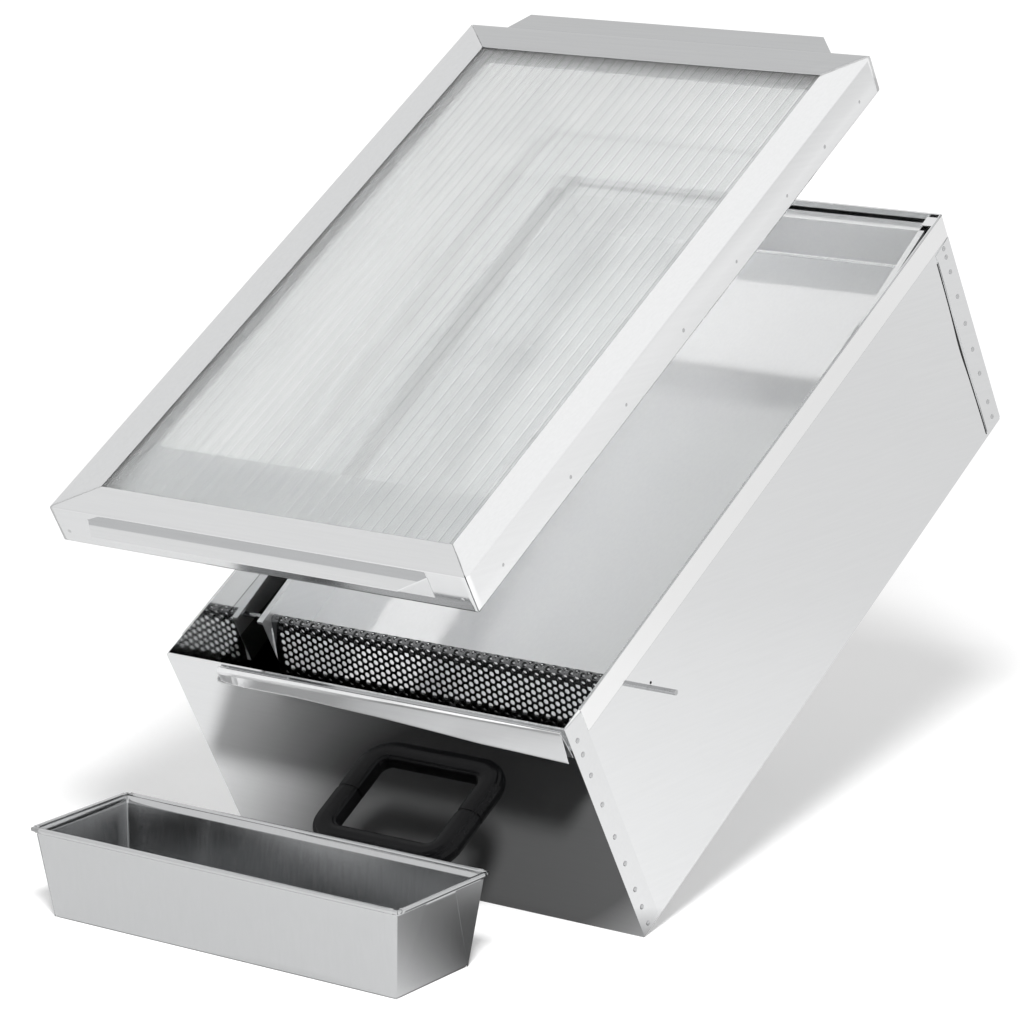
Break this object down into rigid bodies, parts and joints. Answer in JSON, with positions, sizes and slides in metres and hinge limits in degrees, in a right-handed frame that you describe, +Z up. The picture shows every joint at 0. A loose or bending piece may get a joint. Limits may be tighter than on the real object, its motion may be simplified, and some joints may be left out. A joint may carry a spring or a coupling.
{
  "type": "solar wax melter",
  "caption": "Leaning sheet-steel box with a sloping wax pan, a perforated strainer on a pull-out rod, a lift-off twin-wall lid, a loaf-shaped tray and a fold-out wire stand.",
  "frame": {"origin": "on the ground, under the middle of the bounding box", "axes": "+Z up, +Y from the tray and front panel towards the raised rear end, +X towards the side where the rod comes out"},
  "size_m": [0.4911, 0.8692, 0.724],
  "materials": {
    "stainless": "bright rolled stainless sheet, mirror-like",
    "tray_steel": "satin stainless sheet",
    "mesh": "bright perforated stainless sheet",
    "rivet": "satin",
    "screw": "satin",
    "rod": "drawn wire",
    "wire": "zinc plated",
    "handle_plastic": "semi-gloss black moulding",
    "rubber": "matt",
    "twinwall": "clear twin-wall polycarbonate"
  },
  "bodies": {
    "casing": {"casing_wrap": "stainless", "front_panel": "stainless", "rear_panel": "stainless", "front_lip": "stainless", "corner_rivets": "rivet", "handle": "handle_plastic", "handle_screws": "screw", "pan": "stainless", "pan_support": "stainless", "stand_bracket": "wire", "stand_rivets": "rivet"},
    "lid": {"lid_front": "stainless", "lid_rear": "stainless", "lid_left": "stainless", "lid_right": "stainless", "pane": "twinwall", "rail_front": "stainless", "rail_rear": "stainless", "rail_left": "stainless", "rail_right": "stainless", "lid_front_lip": "stainless", "lid_rear_lip": "stainless", "lid_rivets": "rivet"},
    "strainer": {"strainer_plate": "mesh", "strainer_hook": "mesh"},
    "rod": {"strainer_rod": "rod"},
    "tray": {"tray_body": "tray_steel", "tray_rim": "tray_steel", "tray_flaps": "tray_steel"},
    "stand": {"stand_loop": "wire", "stand_foot": "rubber"}
  },
  "joints": [
    {"name": "lid_lift", "type": "slide", "parent": "casing", "child": "lid", "axis": [-0.1753, -0.5523, 0.815], "range_m": [-0.1708, 0.05]},
    {"name": "strainer_lift", "type": "slide", "parent": "casing", "child": "strainer", "axis": [0, -0.2284, 0.9736], "range_m": [0, 0.17]},
    {"name": "rod_pull", "type": "slide", "parent": "casing", "child": "rod", "axis": [1, 0, 0], "range_m": [0, 0.44]},
    {"name": "tray_lift", "type": "slide", "parent": "casing", "child": "tray", "axis": [0, 0, 1], "range_m": [0, 0.2]},
    {"name": "stand_fold", "type": "hinge", "parent": "casing", "child": "stand", "pos_m": [0.00575, 0.26538, 0.23991], "axis": [1, 0, 0], "range_deg": [-66, 0]}
  ]
}
